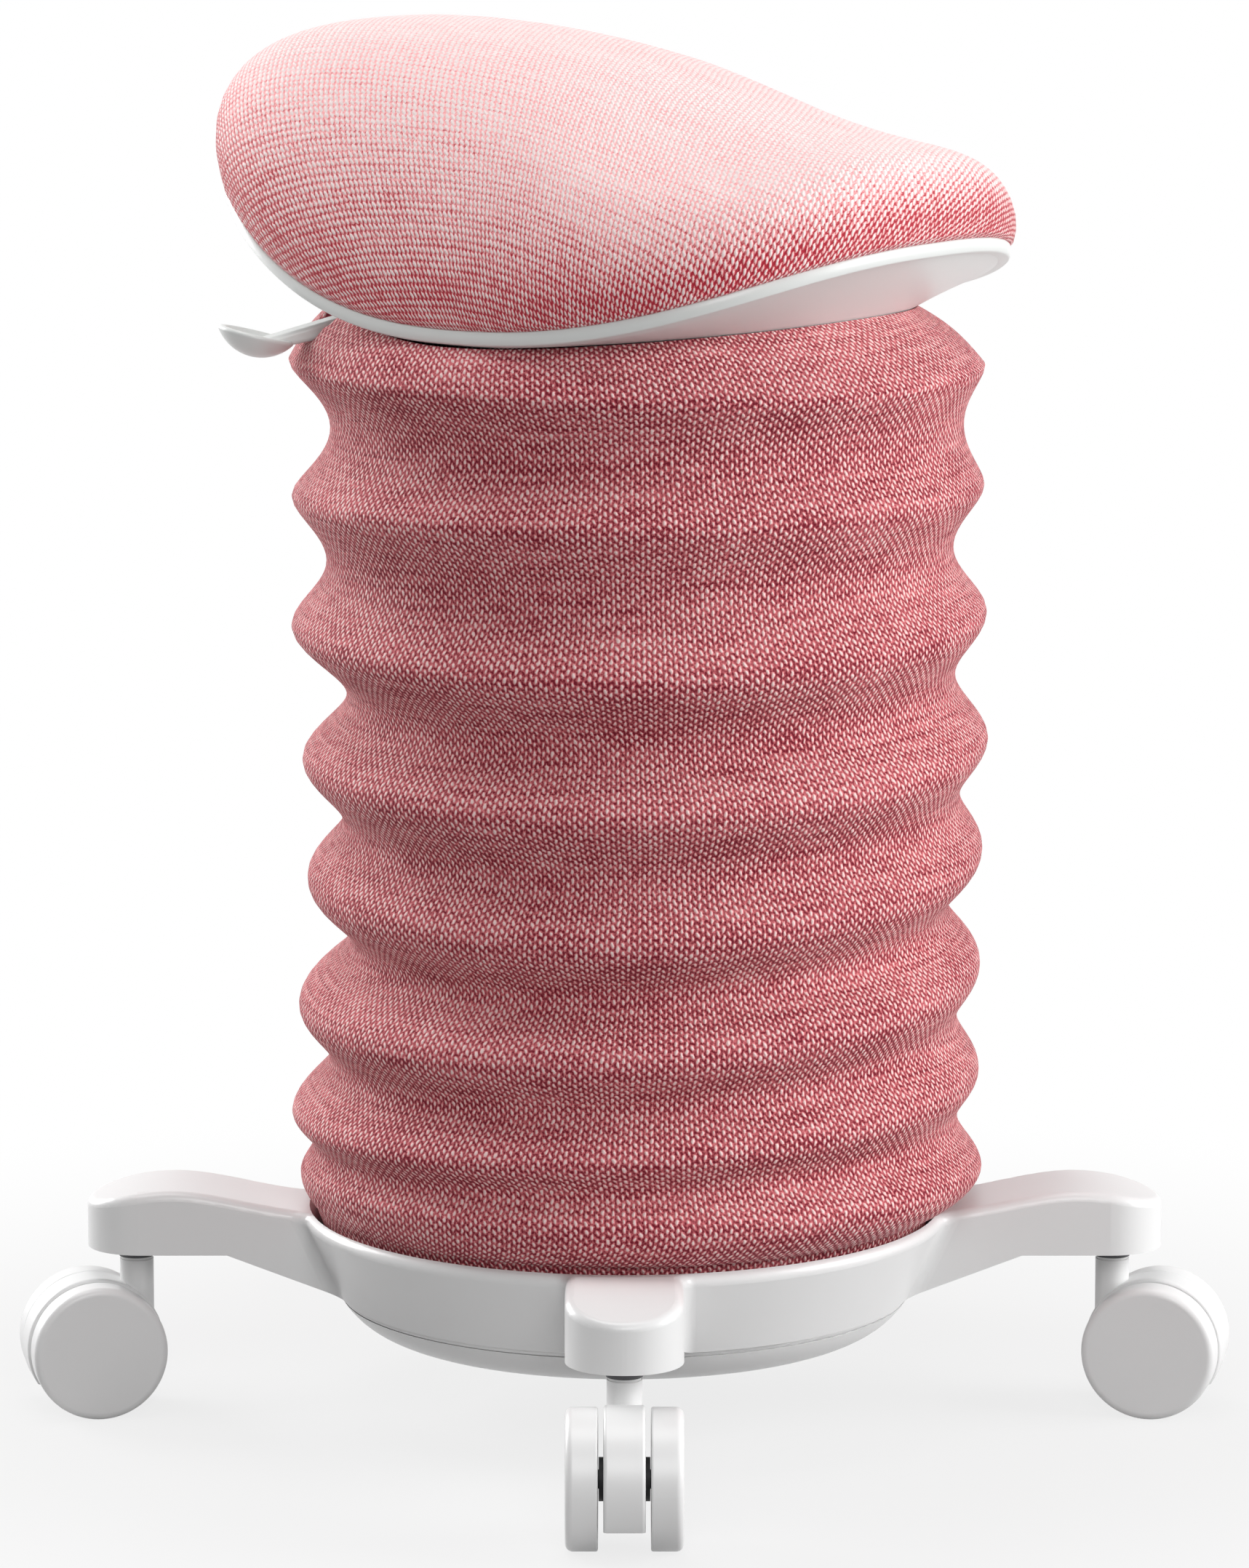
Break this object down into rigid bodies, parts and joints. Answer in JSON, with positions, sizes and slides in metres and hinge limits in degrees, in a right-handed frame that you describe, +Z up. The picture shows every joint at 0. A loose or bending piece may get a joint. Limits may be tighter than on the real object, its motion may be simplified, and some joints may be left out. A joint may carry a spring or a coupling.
{
  "type": "office stool",
  "caption": "Height-adjustable saddle stool on casters: padded knit seat in a white shell over a gas lift hidden by a hooped knit sleeve, on a moulded star base.",
  "frame": {"origin": "on the floor under the middle of the base", "axes": "+Z up, -Y towards the front arm, +X to the right seen from the front arm"},
  "size_m": [0.5432, 0.5376, 0.6165],
  "materials": {
    "base_plastic": "light grey moulded nylon, satin gloss",
    "caster_plastic": "light grey moulded nylon",
    "shell_plastic": "white moulded plastic, satin",
    "seat_fabric": "heathered pink pique knit over foam",
    "sleeve_fabric": "heathered pink knit",
    "painted_steel": "black powder coat",
    "steel": "plain steel",
    "dark_plastic": "dark moulded plastic",
    "rubber": "black rubber"
  },
  "bodies": {
    "base": {"star_base": "base_plastic", "base_pan": "base_plastic", "pan_screws": "steel", "lift_tube": "painted_steel", "guide_bush": "dark_plastic", "thrust_washer_lower": "steel", "caster_stem_front": "steel", "caster_stem_right": "steel", "caster_stem_back": "steel", "caster_stem_left": "steel"},
    "lift_rod": {"piston_rod": "steel", "piston": "steel", "retaining_clip": "steel", "bump_stop": "rubber", "thrust_balls": "steel", "thrust_cage": "steel", "thrust_washer_upper": "steel", "sleeve": "sleeve_fabric", "sleeve_hoops": "dark_plastic", "hem_ring": "dark_plastic"},
    "seat": {"gas_cylinder": "painted_steel", "rod_gland": "dark_plastic", "seat_plate": "painted_steel", "seat_screws": "steel", "lever_pin": "steel", "seat_shell": "shell_plastic", "seat_board": "dark_plastic", "seat_cushion": "seat_fabric"},
    "lever": {"lever_bar": "shell_plastic", "lever_paddle": "shell_plastic"},
    "valve": {"valve_pin": "steel"},
    "caster_front": {"caster_hood_front": "caster_plastic", "caster_axle_front": "steel", "caster_spacers_front": "dark_plastic"},
    "wheel_front_a": {"wheel_front_a": "caster_plastic"},
    "wheel_front_b": {"wheel_front_b": "caster_plastic"},
    "caster_right": {"caster_hood_right": "caster_plastic", "caster_axle_right": "steel", "caster_spacers_right": "dark_plastic"},
    "wheel_right_a": {"wheel_right_a": "caster_plastic"},
    "wheel_right_b": {"wheel_right_b": "caster_plastic"},
    "caster_back": {"caster_hood_back": "caster_plastic", "caster_axle_back": "steel", "caster_spacers_back": "dark_plastic"},
    "wheel_back_a": {"wheel_back_a": "caster_plastic"},
    "wheel_back_b": {"wheel_back_b": "caster_plastic"},
    "caster_left": {"caster_hood_left": "caster_plastic", "caster_axle_left": "steel", "caster_spacers_left": "dark_plastic"},
    "wheel_left_a": {"wheel_left_a": "caster_plastic"},
    "wheel_left_b": {"wheel_left_b": "caster_plastic"}
  },
  "joints": [
    {"name": "seat_swivel", "type": "hinge", "parent": "base", "child": "lift_rod", "pos_m": [0, 0, 0.06], "axis": [0, 0, 1], "continuous": true},
    {"name": "seat_lift", "type": "slide", "parent": "lift_rod", "child": "seat", "axis": [0, 0, 1], "range_m": [-0.1, 0], "deforming": ["sleeve", "sleeve_hoops"]},
    {"name": "lever_pull", "type": "hinge", "parent": "seat", "child": "lever", "pos_m": [-0.05086, -0.01081, 0.511], "axis": [-0.2079, 0.9781, 0], "range_deg": [0, 4.5], "stiffness_Nm_per_rad": 3},
    {"name": "valve_press", "type": "slide", "parent": "seat", "child": "valve", "axis": [0, 0, -1], "range_m": [0, 0.0046]},
    {"name": "caster_front_swivel", "type": "hinge", "parent": "base", "child": "caster_front", "pos_m": [0, -0.218, 0.06], "axis": [0, 0, 1], "continuous": true},
    {"name": "wheel_front_a_roll", "type": "hinge", "parent": "caster_front", "child": "wheel_front_a", "pos_m": [0, -0.238, 0.03], "axis": [1, 0, 0], "continuous": true},
    {"name": "wheel_front_b_roll", "type": "hinge", "parent": "caster_front", "child": "wheel_front_b", "pos_m": [0, -0.238, 0.03], "axis": [1, 0, 0], "continuous": true},
    {"name": "caster_right_swivel", "type": "hinge", "parent": "base", "child": "caster_right", "pos_m": [0.218, 0, 0.06], "axis": [0, 0, 1], "continuous": true},
    {"name": "wheel_right_a_roll", "type": "hinge", "parent": "caster_right", "child": "wheel_right_a", "pos_m": [0.23749, -0.0045, 0.03], "axis": [0.225, 0.9744, 0], "continuous": true},
    {"name": "wheel_right_b_roll", "type": "hinge", "parent": "caster_right", "child": "wheel_right_b", "pos_m": [0.23749, -0.0045, 0.03], "axis": [0.225, 0.9744, 0], "continuous": true},
    {"name": "caster_back_swivel", "type": "hinge", "parent": "base", "child": "caster_back", "pos_m": [0, 0.218, 0.06], "axis": [0, 0, 1], "continuous": true},
    {"name": "wheel_back_a_roll", "type": "hinge", "parent": "caster_back", "child": "wheel_back_a", "pos_m": [0, 0.238, 0.03], "axis": [-1, 0, 0], "continuous": true},
    {"name": "wheel_back_b_roll", "type": "hinge", "parent": "caster_back", "child": "wheel_back_b", "pos_m": [0, 0.238, 0.03], "axis": [-1, 0, 0], "continuous": true},
    {"name": "caster_left_swivel", "type": "hinge", "parent": "base", "child": "caster_left", "pos_m": [-0.218, 0, 0.06], "axis": [0, 0, 1], "continuous": true},
    {"name": "wheel_left_a_roll", "type": "hinge", "parent": "caster_left", "child": "wheel_left_a", "pos_m": [-0.23749, -0.0045, 0.03], "axis": [0.225, -0.9744, 0], "continuous": true},
    {"name": "wheel_left_b_roll", "type": "hinge", "parent": "caster_left", "child": "wheel_left_b", "pos_m": [-0.23749, -0.0045, 0.03], "axis": [0.225, -0.9744, 0], "continuous": true}
  ],
  "couplings": [
    {"joint": "valve_press", "follows": "lever_pull", "m_per_rad": 0.056}
  ]
}
